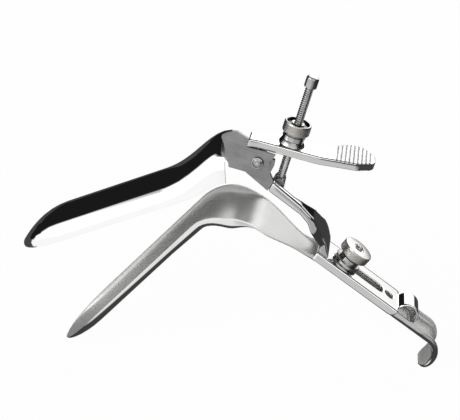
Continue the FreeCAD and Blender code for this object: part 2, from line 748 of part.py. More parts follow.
def seat_collar():
    """Collar under the nut, hollowed to ride on the saddle."""
    top = size("lever_top")
    centre = top - size("lever_thick") / 2
    bore = size("rod_radius") + size("run_gap")
    hollow = size("dome_radius") + size("seat_gap")
    rim = hollow * hollow - bore * bore
    crown = centre + Dim(math.sqrt(rim.value), f"sqrt({rim.text})")
    low = top + size("collar_low")
    high = top + size("nut_low") - size("face_gap")
    outer = size("collar_radius")
    seat = seat_arc(hollow, low, crown, centre)
    rod_turned("seat_collar", [seat[0], (outer + 0.1, low), (outer + 0.1, high - 0.9), (outer - 0.5, high - 0.7),
                               (outer - 0.5, high), (bore, high)] + seat[:0:-1])


def adjusting_nut():
    low = size("lever_top") + size("nut_low")
    high = low + size("nut_height")
    outer = size("nut_radius")
    bore = size("rod_radius") + size("run_gap")
    floor = high - size("nut_recess")
    rod_turned("adjusting_nut", [
        (bore, low), (outer - 0.8, low), (outer, low + 0.6), (outer, high - 0.5), (outer - 0.4, high),
        (outer - 0.9, high), (outer - 1.3, floor), (bore + 1.0, floor), (bore + 1.0, high - 0.3), (bore, high - 0.3)])


def threaded_rod():
    """Rod with a flat eye at its foot, and the cap at its top that keeps the nut on."""
    body = new_body("threaded_rod", size("lever_slope"))
    x, side = size("rod_x"), size("rod_side")
    pivot = -size("rod_pivot")
    thick = size("rod_eye_thick")
    sketch = new_sketch(body, "XZ_Plane", "eye", side + thick / 2)
    circle(sketch, x, pivot, size("rod_eye"))
    pad(body, sketch, thick, reverse=True)
    sketch = new_sketch(body, "XY_Plane", "shank", pivot)
    circle(sketch, x, -side, size("rod_radius"))
    cap_foot = size("rod_top") - size("cap_height")
    pad(body, sketch, cap_foot - pivot)
    sketch = new_sketch(body, "XZ_Plane", "pin_hole", side + thick / 2)
    circle(sketch, x, pivot, size("pin_radius") + size("run_gap"))
    pocket(body, sketch, thick)
    radius, top = size("cap_radius"), size("rod_top")
    rod_turned("rod_cap", [
        (0, cap_foot), (radius - 0.25, cap_foot), (radius, cap_foot + 0.25), (radius, top - 0.8),
        (radius - 0.25, top - 0.3), (radius - 0.9, top), (0, top)])


def rod_fork():
    """Fork on the arm's inboard face that holds the rod's eye, and its pin."""
    body = new_body("rod_lug", size("lever_slope"))
    x, side = size("rod_x"), size("rod_side")
    pivot = -size("rod_pivot")
    cheek = size("fork_round")
    gap = size("rod_eye_thick") / 2 + size("face_gap")
    width = size("arm_inner") - size("lug_reach")
    foot = pivot - size("fork_foot")
    sketch = new_sketch(body, "XZ_Plane", "root", size("arm_inner"))
    polygon(sketch, [
        (x - cheek, pivot), (x - cheek - 1.0, foot + 0.8), (x - cheek, foot), (x + cheek * 0.4, foot - 0.4),
        (x + cheek, pivot - 1.6), (x + cheek, pivot)])
    pad(body, sketch, width, reverse=True)
    sketch = new_sketch(body, "XZ_Plane", "round", size("arm_inner"))
    circle(sketch, x, pivot, cheek)
    pad(body, sketch, width, reverse=True)
    sketch = new_sketch(body, "XZ_Plane", "eye_gap", side + gap)
    reach = size("rod_eye") + size("seat_gap")
    polygon(sketch, [
        (x - cheek - 3.0, pivot - reach), (x + cheek + 3.0, pivot - reach),
        (x + cheek + 3.0, pivot + cheek + 1.0), (x - cheek - 3.0, pivot + cheek + 1.0)])
    pocket(body, sketch, gap * 2)
    sketch = new_sketch(body, "XZ_Plane", "pin_hole", size("arm_inner"))
    circle(sketch, x, pivot, size("pin_radius"))
    pocket(body, sketch, width)
    pin = size("pin_radius")
    inboard = -size("lug_reach")
    turned_piece("rod_pivot_pin", size("lever_slope"), "XY_Plane", pivot, x, [
        (0, -size("arm_inner")), (pin, -size("arm_inner")), (pin, inboard), (pin + 0.7, inboard),
        (pin + 0.7, inboard + 0.5), (pin + 0.3, inboard + 0.9), (0, inboard + 0.9)])


# Yoke arm and tail

def tail_levels():
    """Heights square to the handle: tail top, tail underside, flange feet."""
    under = -size("flange_top") + size("tail_gap")
    top = under + size("tail_sheet")
    return top, under, top - size("tail_depth")


def yoke_arm():
    """Bar from the hinge plate, bent down and spread over the tail: a side outline met by a plan."""
    slope = size("tail_slope")
    top, _, _ = tail_levels()
    start, foot = size("tail_start"), size("tail_start") + size("arm_foot")
    low, high = arm_head()
    side = new_body("arm_side")
    sketch = new_sketch(side, "XZ_Plane", "outline", size("arm_outer") + 1.0)
    bend_x, bend_z = size("arm_bend_x"), -size("arm_bend_z")
    corners = [
        low, (bend_x - 7.0, bend_z + 3.9), (bend_x - 3.4, bend_z - 0.6), (bend_x - 2.2, bend_z - 5.2),
        turned(start - 1.2, top + 3.0, slope), turned(start, top, slope), turned(foot, top, slope),
        turned(foot - 0.6, top + 1.6, slope), (bend_x + 5.2, bend_z - 13.0), (bend_x + 2.6, bend_z - 5.6),
        (bend_x + 0.2, bend_z + 1.6), (bend_x - 6.4, bend_z + 8.9), high]
    polygon(sketch, corners)
    length = size("arm_outer") + size("tail_width") + 2.0
    pad(side, sketch, length, reverse=True)
    plan = new_body("arm_plan", slope)
    sketch = new_sketch(plan, "XY_Plane", "outline", top)
    outer, inner = -size("arm_outer"), -size("arm_inner")
    wide = size("tail_width")
    polygon(sketch, [
        (start * 0.08, outer), (start - 16, outer), (start - 10, outer + 1.6), (start - 3, outer + 6.4),
        (start, -wide), (foot + 1, -wide), (foot + 1, wide), (start + 0.6, wide),
        (start - 4.0, wide - 3.2), (start - 8.5, 1.2), (start - 13, inner + 9.2),
        (start - 18, inner + 5.2), (start - 23, inner + 2.0), (start - 28, inner), (start * 0.08, inner)])
    pad(plan, sketch, size("arm_rise"))
    common = doc.addObject("Part::Common", "arm_blank")
    common.Base = side
    common.Tool = plan
    doc.recompute()
    return common


def yoke_tail():
    """Channel over the handle, with its slot, hole, rounded flange ends and thumb curl."""
    body = new_body("yoke_tail", size("tail_slope"))
    top, under, foot = tail_levels()
    start, end = size("tail_start"), size("tail_end")
    wide = size("tail_width")
    inside = size("handle_half") + size("tail_side_gap")
    sketch = new_sketch(body, "XY_Plane", "plan", foot)
    polygon(sketch, [(start, -wide), (end, -wide), (end, wide), (start, wide)])
    blank = pad(body, sketch, top - foot)
    across = FreeCAD.Vector(0, 1, 0)
    names = edges_at(blank, across, [FreeCAD.Vector(end.value, 0, foot.value)])
    blank = round_edges(body, blank, names, size("tail_depth") * 0.8)
    along = FreeCAD.Vector(1, 0, 0)
    names = edges_at(blank, along, [FreeCAD.Vector(0, wide.value * s, top.value) for s in (-1, 1)])
    blank = round_edges(body, blank, names, size("tail_round"))
    sketch = new_sketch(body, "XY_Plane", "inside", foot)
    polygon(sketch, [(start - 1, -inside), (end + 1, -inside), (end + 1, inside), (start - 1, inside)])
    pocket(body, sketch, under - foot, reverse=True)
    sketch = new_sketch(body, "XY_Plane", "slot", top)
    slot(sketch, size("slot_start"), size("slot_end"), 0, size("slot_half"))
    pocket(body, sketch, size("tail_sheet"))
    sketch = new_sketch(body, "XY_Plane", "hole", top)
    circle(sketch, size("hole_x"), 0, size("hole_radius"))
    pocket(body, sketch, size("tail_sheet"))
    half = size("curl_width") / 2
    radius, sheet_wall = size("curl_radius"), size("tail_sheet")
    centre = end + radius - 0.4
    sketch = new_sketch(body, "XY_Plane", "curl", under + 0.4)
    polygon(sketch, [
        (centre - radius, -half), (centre - radius + sheet_wall, -half),
        (centre - radius + sheet_wall, half), (centre - radius, half)])
    line = sketch.addGeometry(Part.LineSegment(
        FreeCAD.Vector(centre.value, 0, 0), FreeCAD.Vector(centre.value, 10, 0)), True)
    sketch.addConstraint(Sketcher.Constraint("Vertical", line))
    locate(sketch, line, 1, centre, 0)
    hold(sketch, "DistanceY", line, 1, line, 2, 10)
    roll = revolve(body, sketch, "Axis0", size("curl_turn"))
    if roll.Shape.BoundBox.ZMax < top.value + 1:
        roll.Reversed = True
        doc.recompute()


# Clamp

def clamp():
    """Stud on the handle's floor, and the washer, neck and knurled knob on it."""
    slope, x = size("tail_slope"), size("stud_x")
    shank = size("stud_radius")
    bore = shank + size("run_gap")
    floor = -size("flange_top") - size("handle_depth") + size("blade_sheet") + size("floor_gap")
    top, _, _ = tail_levels()
    seat = top + size("face_gap")
    washer = seat + size("clamp_washer_thick")
    neck = washer + size("clamp_neck_height")
    face = neck + size("face_gap")
    crown = face + size("knob_height")
    head = size("stud_head")
    end = crown + size("stud_rise")
    turned_piece("clamp_stud", slope, "XZ_Plane", 0, x, [
        (0, floor), (head, floor), (head, floor + 1.0), (head - 0.4, floor + 1.4), (shank, floor + 1.4),
        (shank, end - 0.9), (shank - 0.3, end - 0.4), (shank - 0.9, end - 0.1), (0, end)])
    turned_piece("clamp_washer", slope, "XZ_Plane", 0, x, ring(
        bore, size("clamp_washer_radius"), seat, washer, 0.5))
    radius = size("clamp_neck")
    turned_piece("clamp_collar", slope, "XZ_Plane", 0, x, [
        (bore, washer), (radius, washer), (radius, neck - 1.3), (radius - 0.5, neck - 1.1),
        (radius - 0.5, neck - 0.7), (radius, neck - 0.5), (radius, neck), (bore, neck)])
    radius = size("knob_radius")
    turned_piece("clamp_knob", slope, "XZ_Plane", 0, x, [
        (bore, face), (radius - 1.0, face), (radius, face + 0.6), (radius, crown - 0.5),
        (radius - 0.5, crown), (shank + 0.9, crown), (shank + 0.7, crown - 0.3), (bore, crown - 0.3)])


formed("lower_blade", lower_blade())
formed("upper_blade", upper_blade())
upper_hinge_plate(formed("upper_core", upper_core()))
yoke_hinge_plate()
hinge_pins()
thumb_lever()
lever_saddle()
seat_collar()
adjusting_nut()
threaded_rod()
rod_fork()
arm = yoke_arm()
yoke_tail()
clamp()
doc.recompute()

NODES = (
    "lower_blade", "clamp_stud", "upper_blade", "upper_hinge_plate", "thumb_lever", "lever_saddle",
    "yoke_hinge_plate", "yoke_arm", "yoke_tail", "rod_lug", "rod_pivot_pin", "hinge_rivet",
    "hinge_washer", "threaded_rod", "rod_cap", "seat_collar", "adjusting_nut", "clamp_washer",
    "clamp_collar", "clamp_knob")
arm.Label = "yoke_arm"
for obj in doc.Objects:
    if "Invalid" in obj.State or "Error" in obj.State:
        raise RuntimeError(f"{obj.Name}: {obj.State}")
os.makedirs("parts", exist_ok=True)
for label in NODES:
    node = doc.getObjectsByLabel(label)[0]
    if node.Shape.isNull() or not node.Shape.isValid() or len(node.Shape.Solids) != 1:
        raise RuntimeError(f"{label} is not one valid solid: {len(node.Shape.Solids)}")
    node.Shape.exportStep(f"parts/{label}.step")
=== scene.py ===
"""Looks of the open-sided bivalve speculum: polished and satin steel, a cut thread, knurled nuts.

Everything is in metres in the model's own frame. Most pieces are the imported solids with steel
materials. The arm, the tail and the lever get polished corners by modifiers, and the threaded rod, the
nut and the knob are built here with their thread and knurls in place of their plain solids.
"""

import json
import math

import bmesh
import bpy
from mathutils import Matrix, Vector

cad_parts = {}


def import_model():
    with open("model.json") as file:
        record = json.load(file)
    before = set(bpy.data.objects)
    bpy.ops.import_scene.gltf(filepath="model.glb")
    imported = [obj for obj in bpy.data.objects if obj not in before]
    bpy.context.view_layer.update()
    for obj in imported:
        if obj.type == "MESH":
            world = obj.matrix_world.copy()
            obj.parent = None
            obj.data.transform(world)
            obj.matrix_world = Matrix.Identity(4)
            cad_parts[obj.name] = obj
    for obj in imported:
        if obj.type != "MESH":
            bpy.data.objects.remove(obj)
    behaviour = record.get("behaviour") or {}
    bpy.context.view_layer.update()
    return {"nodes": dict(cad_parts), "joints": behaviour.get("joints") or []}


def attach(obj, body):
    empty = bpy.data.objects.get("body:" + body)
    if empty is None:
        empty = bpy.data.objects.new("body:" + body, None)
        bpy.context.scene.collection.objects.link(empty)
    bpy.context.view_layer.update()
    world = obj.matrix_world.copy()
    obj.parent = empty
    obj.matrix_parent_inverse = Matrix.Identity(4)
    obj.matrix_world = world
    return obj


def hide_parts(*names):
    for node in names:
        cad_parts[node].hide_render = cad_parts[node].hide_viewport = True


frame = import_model()

JOINTS = {joint["name"]: joint for joint in frame["joints"]}
HINGE = Vector(JOINTS["blade_hinge"]["pos_m"])
ROD_PIVOT = Vector(JOINTS["rod_swing"]["pos_m"])
ROD_AXIS = Vector(JOINTS["nut_travel"]["axis"]).normalized()
CLAMP_AXIS = Vector(JOINTS["clamp_travel"]["axis"]).normalized()
CLAMP_POINT = Vector(JOINTS["clamp_spin"]["pos_m"])

# Slopes of the pieces, and the thumb pad and its grooves (painted shade) along the lever from the hinge
UPPER_SLOPE = math.radians(22.5)
LOWER_SLOPE = math.radians(47.0)
TAIL_SLOPE = math.radians(36.1)
LEVER_SLOPE = math.radians(15.4)
PAD_STRETCH = (0.0340, 0.0516)
PAD_FADE = 0.0004
GROOVE_START = 0.0346
GROOVE_PITCH = 0.002
GROOVE_WIDTH = 0.0009


# Steels

BLACK = (0, 0, 0, 1)
WHITE = (1, 1, 1, 1)
WORN_EDGE = (0.86, 0.86, 0.85, 1)
MARKS_SCALE = 55.0
SPECKS_SCALE = 900.0
GRAIN_STRETCH = (70.0, 1600.0, 1600.0)
BUMP_DEPTH = 0.00003
INWARD_GAIN = -110.0


class Nodes:
    """A material or world whose nodes are made and joined by short calls."""

    def __init__(self, owner):
        owner.use_nodes = True
        self.tree = owner.node_tree
        self.tree.nodes.clear()

    def add(self, kind, **settings):
        node = self.tree.nodes.new(kind)
        for key, value in settings.items():
            setattr(node, key, value)
        return node

    def join(self, source, target):
        self.tree.links.new(source, target)

    def feed(self, socket, value):
        if isinstance(value, bpy.types.NodeSocket):
            self.join(value, socket)
        else:
            socket.default_value = value

    def math(self, operation, first, second=0.0):
        node = self.add("ShaderNodeMath", operation=operation)
        self.feed(node.inputs[0], first)
        self.feed(node.inputs[1], second)
        return node.outputs[0]

    def inverse(self, value):
        return self.math("SUBTRACT", 1.0, value)

    def step(self, value, low, high):
        """Smooth rise from 0 at low to 1 at high."""
        node = self.add("ShaderNodeMapRange", interpolation_type="SMOOTHSTEP")
        self.feed(node.inputs["Value"], value)
        node.inputs["From Min"].default_value = low
        node.inputs["From Max"].default_value = high
        return node.outputs["Result"]

    def window(self, value, low, high, fade):
        """1 between low and high, with an edge that is soft by fade on both sides of each limit."""
        rise = self.step(value, low - fade, low + fade)
        fall = self.inverse(self.step(value, high - fade, high + fade))
        return self.math("MULTIPLY", rise, fall)

    def scale(self, value, low, high):
        """Even rise from low to high while the value goes from 0 to 1."""
        node = self.add("ShaderNodeMapRange")
        self.feed(node.inputs["Value"], value)
        node.inputs["To Min"].default_value = low
        node.inputs["To Max"].default_value = high
        return node.outputs["Result"]

    def mix(self, share, first, second):
        node = self.add("ShaderNodeMix", data_type="FLOAT")
        self.feed(node.inputs["Factor"], share)
        self.feed(node.inputs["A"], first)
        self.feed(node.inputs["B"], second)
        return node.outputs["Result"]

    def mix_colour(self, share, first, second):
        node = self.add("ShaderNodeMix", data_type="RGBA")
        self.feed(node.inputs["Factor"], share)
        self.feed(node.inputs[6], first)
        self.feed(node.inputs[7], second)
        return node.outputs[2]

    def axes(self, vector):
        """X, Y and Z of a vector."""
        node = self.add("ShaderNodeSeparateXYZ")
        self.join(vector, node.inputs["Vector"])
        return [node.outputs[axis] for axis in "XYZ"]

    def noise(self, place, scale, detail, rough=0.5):
        node = self.add("ShaderNodeTexNoise")
        self.join(place, node.inputs["Vector"])
        node.inputs["Scale"].default_value = scale
        node.inputs["Detail"].default_value = detail
        node.inputs["Roughness"].default_value = rough
        return node.outputs["Fac"]

    def place(self, tilt, stretch):
        """Coordinates on the part, turned by the slope of the piece and stretched along its grain."""
        coordinates = self.add("ShaderNodeTexCoord")
        mapping = self.add("ShaderNodeMapping")
        mapping.inputs["Rotation"].default_value = (0.0, -tilt, 0.0)
        spread = self.add("ShaderNodeMapping")
        spread.inputs["Scale"].default_value = stretch
        self.join(coordinates.outputs["Object"], mapping.inputs["Vector"])
        self.join(mapping.outputs["Vector"], spread.inputs["Vector"])
        return spread.outputs["Vector"]


def inside_mask(nodes, sense):
    """1 on the surfaces that face into a trough open upwards (sense 1) or downwards (sense -1)."""
    coordinates = nodes.add("ShaderNodeTexCoord")
    facing = nodes.axes(coordinates.outputs["Normal"])
    spot = nodes.axes(coordinates.outputs["Object"])
    away = nodes.math("SUBTRACT", spot[1], HINGE.y)
    inward = nodes.math("MULTIPLY", nodes.math("MULTIPLY", facing[1], away), INWARD_GAIN)
    open_side = nodes.math("MULTIPLY", facing[2], sense)
    return nodes.step(nodes.math("ADD", inward, open_side), 0.05, 0.35)


def pad_masks(nodes, tilt):
    """Upper side of the thumb pad, and painted shade in the grooves across it, on a lever of the given
    slope.
    """
    coordinates = nodes.add("ShaderNodeTexCoord")
    facing = nodes.axes(coordinates.outputs["Normal"])
    spot = nodes.axes(coordinates.outputs["Object"])
    level = nodes.math("MULTIPLY", nodes.math("SUBTRACT", spot[0], HINGE.x), math.cos(tilt))
    drop = nodes.math("MULTIPLY", nodes.math("SUBTRACT", spot[2], HINGE.z), math.sin(tilt))
    reach = nodes.math("SUBTRACT", level, drop)
    upper = nodes.step(facing[2], 0.15, 0.45)
    pad = nodes.math("MULTIPLY", nodes.window(reach, *PAD_STRETCH, PAD_FADE), upper)
    pitches = nodes.math("DIVIDE", nodes.math("SUBTRACT", reach, GROOVE_START), GROOVE_PITCH)
    middle = GROOVE_WIDTH / GROOVE_PITCH / 2
    off_centre = nodes.math("ABSOLUTE", nodes.math("SUBTRACT", nodes.math("FRACT", pitches), middle))
    groove_shade = nodes.inverse(nodes.step(off_centre, 0.14, 0.28))
    return pad, nodes.math("MULTIPLY", groove_shade, pad)


def steel(name, colour, dark, rough, tilt=0.0, grain=0.0, wear=0.4, mask=None, satin_rough=0.34,
          satin_grain=0.3, satin_tone=1.0, satin_metal=1.0, grooved=False):
    """Steel with fine grain along the piece, faint hand marks and edges that are worn brighter.

    colour and dark are the ends of its blotchy tone, and wear is how much the edges brighten. mask
    tells the trough whose inside is satin; grooved steel is satin on the thumb pad instead, with
    painted shade darkening its grooves. The satin part has its own roughness and grain, is darker by
    satin_tone, and shows less of the studio where satin_metal is low.
    """
    material = bpy.data.materials.new(name)
    nodes = Nodes(material)
    output = nodes.add("ShaderNodeOutputMaterial")
    shader = nodes.add("ShaderNodeBsdfPrincipled")
    plain = nodes.place(tilt, (1.0, 1.0, 1.0))
    along = nodes.place(tilt, GRAIN_STRETCH)
    marks = nodes.noise(plain, MARKS_SCALE, 5.0, 0.62)
    specks = nodes.noise(plain, SPECKS_SCALE, 2.0)
    lines = nodes.noise(along, 1.0, 4.0, 0.7)
    tint = nodes.math("ADD", nodes.math("MULTIPLY", marks, 0.6), nodes.math("MULTIPLY", lines, 0.4))
    base = nodes.mix_colour(nodes.step(tint, 0.3, 0.75), (*dark, 1), (*colour, 1))
    roughness = nodes.math("ADD", nodes.scale(marks, rough * 0.5, rough * 1.5),
                           nodes.math("MULTIPLY", lines, grain * 0.12))
    relief = grain * 0.3 + 0.02
    metal = 1.0
    if mask or grooved:
        if grooved:
            satin, groove_shade = pad_masks(nodes, tilt)
            # painted shade: the pad's grooves are darkened three quarters of the way to black
            shade = nodes.math("MULTIPLY", groove_shade, 0.75)
        else:
            satin = inside_mask(nodes, mask)
            shade = nodes.math("MULTIPLY", satin, 1.0 - satin_tone)
        brushed = nodes.math("ADD", nodes.scale(lines, satin_rough - 0.08, satin_rough + 0.1),
                             nodes.math("MULTIPLY", marks, 0.05))
        # darkens the base colour: painted shade in the pad's grooves, or the satin's tone set by satin_tone
        # inside a trough
        base = nodes.mix_colour(shade, base, BLACK)
        roughness = nodes.mix(satin, roughness, brushed)
        relief = nodes.mix(satin, relief, satin_grain)
        if satin_metal < 1.0:
            metal = nodes.mix(satin, metal, satin_metal)
    edge = nodes.add("ShaderNodeNewGeometry")
    edge_share = nodes.step(edge.outputs["Pointiness"], 0.51, 0.6)
    worn = nodes.mix_colour(nodes.math("MULTIPLY", edge_share, wear), base, WORN_EDGE)
    bump = nodes.add("ShaderNodeBump")
    bump.inputs["Distance"].default_value = BUMP_DEPTH
    nodes.feed(bump.inputs["Strength"], relief)
    nodes.join(nodes.math("ADD", lines, nodes.math("MULTIPLY", specks, 0.3)), bump.inputs["Height"])
    nodes.join(worn, shader.inputs["Base Color"])
    nodes.feed(shader.inputs["Metallic"], metal)
    nodes.join(roughness, shader.inputs["Roughness"])
    nodes.join(bump.outputs["Normal"], shader.inputs["Normal"])
    nodes.join(shader.outputs["BSDF"], output.inputs["Surface"])
    return material


def grey(level):
    return (level, level, level)


MATERIALS = {
    "lower_steel": steel("lower_steel", (0.82, 0.82, 0.81), (0.7, 0.7, 0.69), 0.09, -LOWER_SLOPE,
                         mask=1.0, satin_rough=0.42, satin_grain=0.06, satin_tone=0.94, satin_metal=0.55),
    "upper_steel": steel("upper_steel", grey(0.97), grey(0.92), 0.06, -UPPER_SLOPE,
                         mask=-1.0, satin_rough=0.3),
    "plate_steel": steel("plate_steel", grey(0.36), grey(0.18), 0.32, LEVER_SLOPE, grain=0.8, wear=0.02),
    "lever_steel": steel("lever_steel", (0.88, 0.88, 0.87), grey(0.8), 0.06, LEVER_SLOPE,
                         satin_grain=0.1, satin_metal=0.7, grooved=True),
    # painted dark reflection: the arm is the same polished steel as the tail, with a darker base standing in
    # for the dark reflections along it
    "arm_painted_dark_steel": steel("arm_painted_dark_steel", grey(0.62), grey(0.5), 0.07, TAIL_SLOPE),
    "tail_steel": steel("tail_steel", (0.88, 0.88, 0.87), grey(0.8), 0.06, TAIL_SLOPE),
    "turned_steel": steel("turned_steel", grey(0.46), grey(0.3), 0.2, grain=0.6),
    "knurled_steel": steel("knurled_steel", (0.56, 0.54, 0.5), (0.32, 0.31, 0.29), 0.3, grain=0.5,
                           wear=0.5),
    # painted shade: near-black steel for the inside of the nut's recess
    "recess_painted_shade_steel": steel("recess_painted_shade_steel", grey(0.1), grey(0.04), 0.2),
    "face_steel": steel("face_steel", (0.92, 0.91, 0.89), (0.82, 0.81, 0.79), 0.3, grain=0.3),
    # painted shade: the collars under the nut and the knob are made dark for the shade they sit in
    "neck_painted_shade_steel": steel("neck_painted_shade_steel", (0.36, 0.36, 0.35), grey(0.16), 0.18),
    "thread_steel": steel("thread_steel", grey(0.85), grey(0.45), 0.25, grain=0.5, wear=0.9),
}
NODE_MATERIALS = {
    "lower_blade": "lower_steel", "upper_blade": "upper_steel", "upper_hinge_plate": "plate_steel",
    "yoke_hinge_plate": "plate_steel", "hinge_rivet": "turned_steel", "hinge_washer": "turned_steel",
    "thumb_lever": "lever_steel", "lever_saddle": "turned_steel", "yoke_arm": "arm_painted_dark_steel",
    "yoke_tail": "tail_steel", "rod_lug": "plate_steel", "rod_pivot_pin": "turned_steel",
    "threaded_rod": "thread_steel", "rod_cap": "turned_steel", "seat_collar": "neck_painted_shade_steel",
    "adjusting_nut": "knurled_steel", "clamp_washer": "turned_steel", "clamp_collar": "neck_painted_shade_steel",
    "clamp_knob": "knurled_steel", "clamp_stud": "turned_steel",
}
for node, material in NODE_MATERIALS.items():
    node_object = frame["nodes"][node]
    node_object.data.materials.clear()
    node_object.data.materials.append(MATERIALS[material])


# Even shading and polished corners

MERGE_DISTANCE = 1e-6
SHELL_CELL = 0.0004
SHEET_CREASE = math.radians(30)
BAR_CREASE = math.radians(80)


def even(node, crease, blends=0):
    """Joins the strips of a formed piece, so that its curves shade as one surface.

    Edges sharper than crease stay sharp. blends is how many passes round the corners and blend the
    flats, as polishing leaves them.
    """
    group = bpy.data.node_groups.new("even_" + node, "GeometryNodeTree")
    group.interface.new_socket("Geometry", in_out="INPUT", socket_type="NodeSocketGeometry")
    group.interface.new_socket("Geometry", in_out="OUTPUT", socket_type="NodeSocketGeometry")
    source = group.nodes.new("NodeGroupInput")
    target = group.nodes.new("NodeGroupOutput")
    merge = group.nodes.new("GeometryNodeMergeByDistance")
    merge.inputs["Distance"].default_value = MERGE_DISTANCE
    drop = group.nodes.new("GeometryNodeRemoveAttribute")
    drop.inputs["Name"].default_value = "custom_normal"
    faces = group.nodes.new("GeometryNodeSetShadeSmooth")
    faces.domain = "FACE"
    angle = group.nodes.new("GeometryNodeInputMeshEdgeAngle")
    less = group.nodes.new("FunctionNodeCompare")
    less.operation = "LESS_THAN"
    less.inputs["B"].default_value = crease
    edges = group.nodes.new("GeometryNodeSetShadeSmooth")
    edges.domain = "EDGE"
    group.links.new(angle.outputs["Unsigned Angle"], less.inputs["A"])
    group.links.new(less.outputs["Result"], edges.inputs["Shade Smooth"])
    chain = (source, merge, drop, faces, edges, target)
    for first, second in zip(chain, chain[1:]):
        group.links.new(first.outputs["Geometry"], second.inputs["Geometry"])
    item = frame["nodes"][node]
    modifier = item.modifiers.new("even", "NODES")
    modifier.node_group = group
    if blends:
        shell = item.modifiers.new("shell", "REMESH")
        shell.mode = "VOXEL"
        shell.voxel_size = SHELL_CELL
        shell.use_smooth_shade = True
        blend = item.modifiers.new("blend", "SMOOTH")
        blend.factor = 0.6
        blend.iterations = blends
    else:
        weighted = item.modifiers.new("weighted", "WEIGHTED_NORMAL")
        weighted.keep_sharp = True


even("upper_blade", SHEET_CREASE)
even("lower_blade", SHEET_CREASE)
even("yoke_arm", BAR_CREASE, blends=60)
even("yoke_tail", BAR_CREASE, blends=10)
even("thumb_lever", BAR_CREASE, blends=4)


# Cut thread and knurls

ACROSS = Vector((0, 1, 0))
THREAD_RADIUS = 0.002
THREAD_DEPTH = 0.00036
THREAD_PITCH = 0.001
THREAD_BORE = 0.00205
KNURL_PITCH = 0.00112
KNURL_DEPTH = 0.00024
NUT_RADIUS = 0.0066
NUT_HEIGHT = 0.0054
KNOB_RADIUS = 0.0080
KNOB_HEIGHT = 0.0050
KNOB_STANDS = 0.0069
ROD_LENGTH = 0.0493
EYE_RADIUS = 0.0024
EYE_HALF = 0.0021
EYE_HOLE = 0.00115
EYE_BEVEL = 0.0002


def turned_point(origin, axis, radius, height, angle):
    """Point at a radius and an angle about an axis, a height along it."""
    side = ACROSS.cross(axis).normalized() if abs(axis.y) < 0.5 else Vector((1, 0, 0))
    other = axis.cross(side)
    return origin + axis * height + (side * math.cos(angle) + other * math.sin(angle)) * radius


def revolve(work, origin, axis, rings, steps, cut=None):
    """Closed ring surface through (radius, height) pairs; cut lowers the radius by place."""
    loops = []
    for index, (radius, height) in enumerate(rings):
        loop = []
        for step in range(steps):
            angle = 2 * math.pi * step / steps
            depth = cut(index, angle, height) if cut else 0.0
            loop.append(work.verts.new(turned_point(origin, axis, radius - depth, height, angle)))
        loops.append(loop)
    for index, loop in enumerate(loops):
        following = loops[(index + 1) % len(loops)]
        for step in range(steps):
            after = (step + 1) % steps
            work.faces.new((loop[step], loop[after], following[after], following[step]))


def helix(work, origin, axis, low, high):
    """Screw surface whose rows follow the thread, so that its crests stay crisp."""
    profile = ((0.0, THREAD_RADIUS - THREAD_DEPTH), (0.4, THREAD_RADIUS), (0.58, THREAD_RADIUS))
    steps = 28
    turns = math.ceil((high - low) / THREAD_PITCH) + 1
    rows = []
    for turn in range(-1, turns + 1):
        for share, radius in profile:
            row = []
            for step in range(steps):
                height = low + THREAD_PITCH * (turn + share + step / steps)
                height = min(max(height, low), high)
                row.append(work.verts.new(turned_point(
                    origin, axis, radius, height, 2 * math.pi * step / steps)))
            rows.append(row)
    for index in range(len(rows) - len(profile) - 1):
        for step in range(steps):
            wrapped = step + 1 == steps
            after = 0 if wrapped else step + 1
            shift = len(profile) if wrapped else 0
            work.faces.new((rows[index][step], rows[index + shift][after],
                            rows[index + 1 + shift][after], rows[index + 1][step]))


def finish_mesh(name, work, material, body, node):
    """Turns a bmesh into a piece that rides on a body and stands for a CAD node."""
    bmesh.ops.dissolve_degenerate(work, dist=1e-7, edges=work.edges)
    loose = [vert for vert in work.verts if not vert.link_faces]
    bmesh.ops.delete(work, geom=loose, context="VERTS")
    rims = [edge for edge in work.edges if edge.is_boundary]
    if rims:
        bmesh.ops.holes_fill(work, edges=rims, sides=0)
    bmesh.ops.recalc_face_normals(work, faces=work.faces)
    mesh = bpy.data.meshes.new(name)
    work.to_mesh(mesh)
    work.free()
    mesh.shade_smooth()
    mesh.set_sharp_from_angle(angle=math.radians(32))
    mesh.materials.append(MATERIALS[material])
    item = bpy.data.objects.new(name, mesh)
    bpy.context.collection.objects.link(item)
    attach(item, body)
    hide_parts(node)
    return item


def cut_rod():
    """Threaded rod from its flat eye up into the cap."""
    work = bmesh.new()
    helix(work, ROD_PIVOT, ROD_AXIS, EYE_RADIUS * 0.8, ROD_LENGTH)
    revolve(work, ROD_PIVOT, ACROSS, (
        (EYE_HOLE, -EYE_HALF), (EYE_RADIUS - EYE_BEVEL, -EYE_HALF), (EYE_RADIUS, -EYE_HALF + EYE_BEVEL),
        (EYE_RADIUS, EYE_HALF - EYE_BEVEL), (EYE_RADIUS - EYE_BEVEL, EYE_HALF), (EYE_HOLE, EYE_HALF)), 36)
    finish_mesh("cut_rod", work, "thread_steel", "rod", "threaded_rod")


def knurled(name, node, body, base, axis, low, high, radius, inner, face_material):
    """Disc with a diamond knurl round its rim, from low to high.

    inner holds the rest of its outline, and face_material is on the middle of its top; on the nut that is
    painted shade in its recess.
    """
    work = bmesh.new()
    teeth = round(2 * math.pi * radius / KNURL_PITCH)
    pitch = 2 * math.pi * radius / teeth
    rows = round((high - low) / (pitch / 4))
    rings = [(radius, low + (high - low) * row / rows) for row in range(rows + 1)]

    def cut(index, angle, height):
        if index > rows:
            return 0.0
        around = angle * radius / pitch
        along = (height - low) / pitch
        first, second = (abs(2 * (turn % 1.0) - 1) for turn in (around + along, around - along))
        return KNURL_DEPTH * (1 - min(first, second))

    revolve(work, base, axis, rings + list(inner), teeth * 4, cut)
    item = finish_mesh(name, work, "knurled_steel", body, node)
    item.data.materials.append(MATERIALS[face_material])
    for face in item.data.polygons:
        offset = face.center - base
        height = offset.dot(axis)
        if height > (low + high) / 2 and (offset - axis * height).length < radius - 0.0011:
            face.material_index = 1


